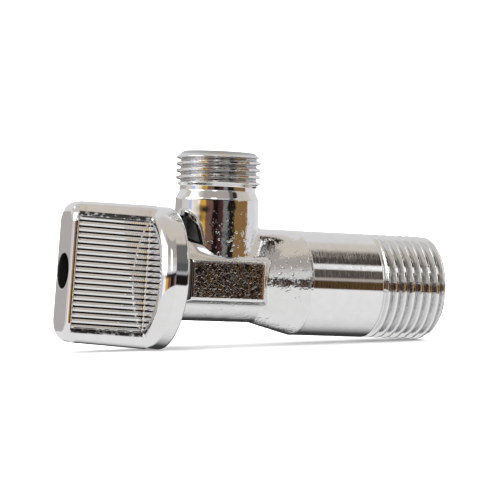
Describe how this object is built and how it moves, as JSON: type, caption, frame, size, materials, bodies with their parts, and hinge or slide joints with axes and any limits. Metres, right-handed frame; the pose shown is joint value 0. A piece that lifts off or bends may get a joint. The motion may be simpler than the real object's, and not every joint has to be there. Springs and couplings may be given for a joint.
{
  "type": "angle stop valve",
  "caption": "Chrome-plated quarter-turn angle stop valve with a ribbed paddle handle, a threaded inlet barrel and a threaded outlet at a right angle.",
  "frame": {"origin": "centre of the inlet end face, on the inlet thread's axis", "axes": "+X out of the inlet, towards the wall; +Z out of the outlet; the handle is at -X"},
  "size_m": [0.0779, 0.0278, 0.039],
  "materials": {
    "chrome_body": "polished chrome plate on a brass forging, slightly pitted around the pad",
    "chrome_handle": "polished chrome plate on a zinc casting",
    "chrome_ball": "chrome plate on brass",
    "brass": "turned brass",
    "steel": "stainless steel",
    "ptfe": "moulded PTFE",
    "rubber": "black rubber O-rings"
  },
  "bodies": {
    "fixed_body": {"valve_body": "chrome_body", "stem_thrust_washer": "ptfe", "stem_guide_bush": "brass", "stop_pin": "steel", "handle_friction_washer": "ptfe", "outlet_seat": "ptfe", "outlet_seat_o_ring": "rubber", "outlet_seat_retainer": "brass", "inlet_seat": "ptfe", "inlet_seat_o_ring": "rubber", "inlet_seat_retainer": "brass"},
    "turning_stem": {"handle": "chrome_handle", "stem": "brass", "ball": "chrome_ball", "stem_o_ring_inner": "rubber", "stem_o_ring_outer": "rubber", "stem_retaining_clip": "steel", "handle_screw": "steel", "handle_spring_washer": "steel", "handle_plain_washer": "steel"}
  },
  "joints": [
    {"name": "handle_turn", "type": "hinge", "parent": "fixed_body", "child": "turning_stem", "pos_m": [-0.0467, 0, 0], "axis": [1, 0, 0], "range_deg": [0, 90]}
  ]
}
